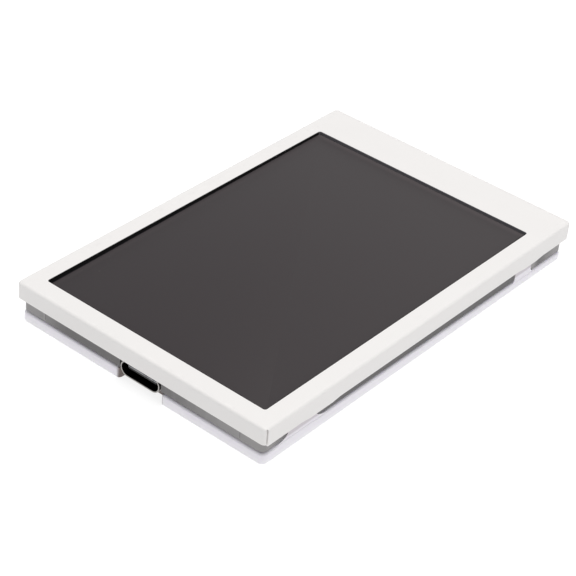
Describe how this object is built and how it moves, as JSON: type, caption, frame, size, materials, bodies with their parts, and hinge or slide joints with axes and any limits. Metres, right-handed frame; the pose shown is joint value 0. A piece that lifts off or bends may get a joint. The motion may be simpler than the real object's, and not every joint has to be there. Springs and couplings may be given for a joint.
{
  "type": "digital photo frame",
  "caption": "Small flat digital photo frame with a folded white bezel, a dark portrait screen, a grey mid frame and a milky rear tray with a USB-C socket in one short end.",
  "frame": {"origin": "centre of the flat back face, on the surface that the frame lies on", "axes": "+X across the width, +Y along the length away from the USB socket, +Z out of the screen"},
  "size_m": [0.0572, 0.0882, 0.0082],
  "materials": {
    "white_paint": "smooth semi-matt white powder coat on folded sheet steel",
    "milky_plastic": "milky off-white moulding with a faint lavender cast and a fine spark-eroded grain",
    "grey_plastic": "satin mid-grey moulding",
    "black_trim": "matt black adhesive edge trim",
    "dark_screen": "anti-glare charcoal polariser, unlit",
    "display_glass": "thin clear display glass",
    "polariser_film": "grey polarising film",
    "optical_film": "translucent ribbed optical film",
    "clear_acrylic": "clear moulded light guide with a fine dot pattern",
    "reflector_white": "bright white reflector and moulding",
    "silicon": "bare silicon chip",
    "amber_flex": "amber polyimide flexible circuit with copper tracks",
    "backlight_steel": "pressed bright steel",
    "led_package": "white package with a yellow phosphor window",
    "black_foam": "open-cell black foam tape",
    "green_board": "green solder mask over copper tracks",
    "port_steel": "drawn and nickel-plated steel shell",
    "black_moulding": "black high-temperature moulding",
    "gold_contact": "gold-plated contacts",
    "chip_epoxy": "moulded black epoxy package",
    "tinned_lead": "tin-plated leads",
    "ferrite": "grey ferrite with a moulded grain",
    "crystal_can": "seam-welded metal can",
    "ceramic_tan": "tan ceramic body with tinned ends",
    "chip_black": "black glazed chip with tinned ends",
    "connector_ivory": "ivory high-temperature moulding",
    "connector_black": "black moulded flip latch",
    "label_film": "blank matt silver-white label",
    "screw_steel": "zinc-plated steel"
  },
  "bodies": {
    "case": {"front_bezel": "white_paint", "window_trim": "black_trim", "top_polariser": "dark_screen", "colour_filter_glass": "display_glass", "array_glass": "display_glass", "rear_polariser": "polariser_film", "prism_film_upper": "optical_film", "prism_film_lower": "optical_film", "diffuser_film": "optical_film", "light_guide_plate": "clear_acrylic", "reflector_film": "reflector_white", "driver_chip": "silicon", "display_flex": "amber_flex", "backlight_frame": "reflector_white", "backlight_tray": "backlight_steel", "backlight_leds": "led_package", "led_flex": "amber_flex", "foam_pads": "black_foam", "mid_frame": "grey_plastic", "main_board": "green_board", "usb_shell": "port_steel", "usb_tongue": "black_moulding", "usb_contacts": "gold_contact", "microcontroller": "chip_epoxy", "flash_memory": "chip_epoxy", "flash_leads": "tinned_lead", "voltage_regulator": "chip_epoxy", "regulator_leads": "tinned_lead", "backlight_driver": "chip_epoxy", "power_inductor": "ferrite", "crystal": "crystal_can", "chip_capacitors": "ceramic_tan", "chip_resistors": "chip_black", "status_led": "led_package", "connector_body": "connector_ivory", "connector_contacts": "gold_contact", "switch_body": "chip_epoxy", "rear_tray": "milky_plastic", "rear_label": "label_film", "case_screws": "screw_steel"},
    "key": {"rear_key": "milky_plastic", "switch_plunger": "connector_ivory"},
    "latch": {"connector_latch": "connector_black"}
  },
  "joints": [
    {"name": "rear_key_press", "type": "slide", "parent": "case", "child": "key", "axis": [0, 0, 1], "range_m": [0, 0.00025], "stiffness_N_per_m": 3000, "springref_m": -0.0002},
    {"name": "connector_latch_flip", "type": "hinge", "parent": "case", "child": "latch", "pos_m": [0, 0.03795, 0.00315], "axis": [-1, 0, 0], "range_deg": [0, 90]}
  ]
}
